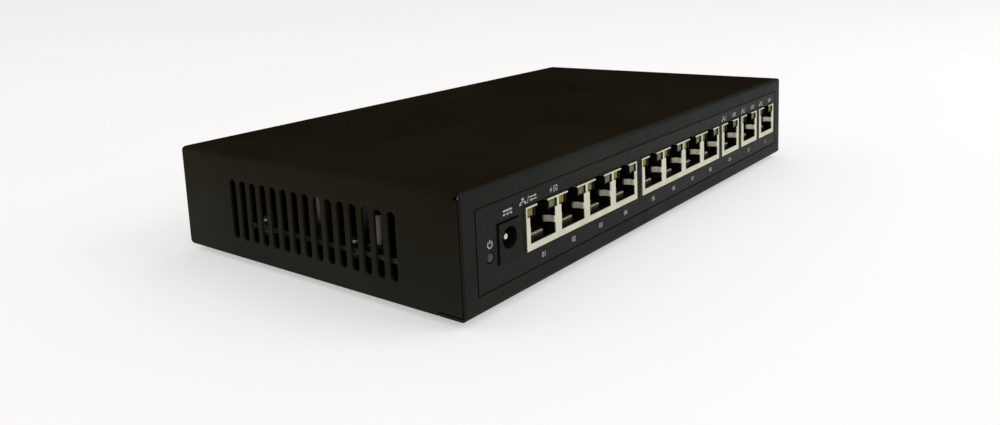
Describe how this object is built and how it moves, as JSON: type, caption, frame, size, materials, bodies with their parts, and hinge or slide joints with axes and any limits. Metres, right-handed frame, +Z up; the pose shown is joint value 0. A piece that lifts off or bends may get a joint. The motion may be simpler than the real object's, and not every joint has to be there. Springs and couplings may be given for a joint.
{
  "type": "desktop network switch",
  "caption": "Flat folded-steel box with a row of network sockets and a barrel power inlet on its front face, slotted sides, a label panel and rubber feet.",
  "frame": {"origin": "under the middle of the whole object, on the plane that the feet rest on", "axes": "+X to the right along the front face, +Y from the front to the back, +Z up"},
  "size_m": [0.22, 0.1264, 0.036],
  "materials": {
    "case_paint": "satin black powder coat",
    "label_film": "satin printed film",
    "screw_steel": "black zinc",
    "foot_rubber": "matte",
    "brass": "nickel-washed brass",
    "bright_steel": "zinc plated",
    "board_green": "green solder mask on glass epoxy",
    "shield_tin": "tin-plated sheet, nearly matte",
    "jack_plastic": "black glass-filled plastic",
    "gold": "gold plated",
    "lens_yellow": "milky yellow lens",
    "lens_green": "milky green lens",
    "lens_grey": "milky lens",
    "tinned": "tinned wire",
    "inlet_plastic": "black plastic",
    "nickel": "nickel plated",
    "epoxy": "black moulding compound",
    "anodised": "black anodised",
    "crystal_can": "bright can",
    "can_alu": "bare aluminium",
    "ferrite": "moulded ferrite",
    "fuse_white": "white ceramic",
    "ceramic": "tan ceramic"
  },
  "bodies": {
    "root": {"base_chassis": "case_paint", "top_cover": "case_paint", "front_label": "label_film", "cover_screws": "screw_steel", "foot_front_left": "foot_rubber", "foot_front_right": "foot_rubber", "foot_rear_left": "foot_rubber", "foot_rear_right": "foot_rubber", "board_standoffs": "brass", "board_screws": "bright_steel", "main_board": "board_green", "jack_shield_a": "shield_tin", "jack_shield_b": "shield_tin", "jack_shield_9": "shield_tin", "jack_shield_10": "shield_tin", "jack_shield_11": "shield_tin", "jack_housing_a": "jack_plastic", "jack_housing_b": "jack_plastic", "jack_housing_9": "jack_plastic", "jack_housing_10": "jack_plastic", "jack_housing_11": "jack_plastic", "jack_contacts_a": "gold", "jack_contacts_b": "gold", "jack_contacts_9": "gold", "jack_contacts_10": "gold", "jack_contacts_11": "gold", "link_lamps": "lens_yellow", "power_lamps": "lens_green", "lamp_leads": "tinned", "inlet_body": "inlet_plastic", "inlet_pin_contact": "nickel", "inlet_leaf_contact": "nickel", "power_lamp": "lens_grey", "power_lamp_leads": "tinned", "magnetics_a": "epoxy", "magnetics_b": "epoxy", "magnetics_9": "epoxy", "magnetics_10": "epoxy", "magnetics_11": "epoxy", "magnetics_leads": "tinned", "switch_chip": "epoxy", "switch_chip_leads": "tinned", "heat_sink": "anodised", "power_controller_a": "epoxy", "power_controller_b": "epoxy", "flash_chip": "epoxy", "clock_crystal": "crystal_can", "choke_coil": "ferrite", "input_fuse": "fuse_white", "bridge_rectifier": "epoxy", "regulator_chip": "epoxy", "capacitor_bases": "epoxy", "capacitor_cans": "can_alu", "chip_capacitors": "ceramic"}
  },
  "joints": []
}
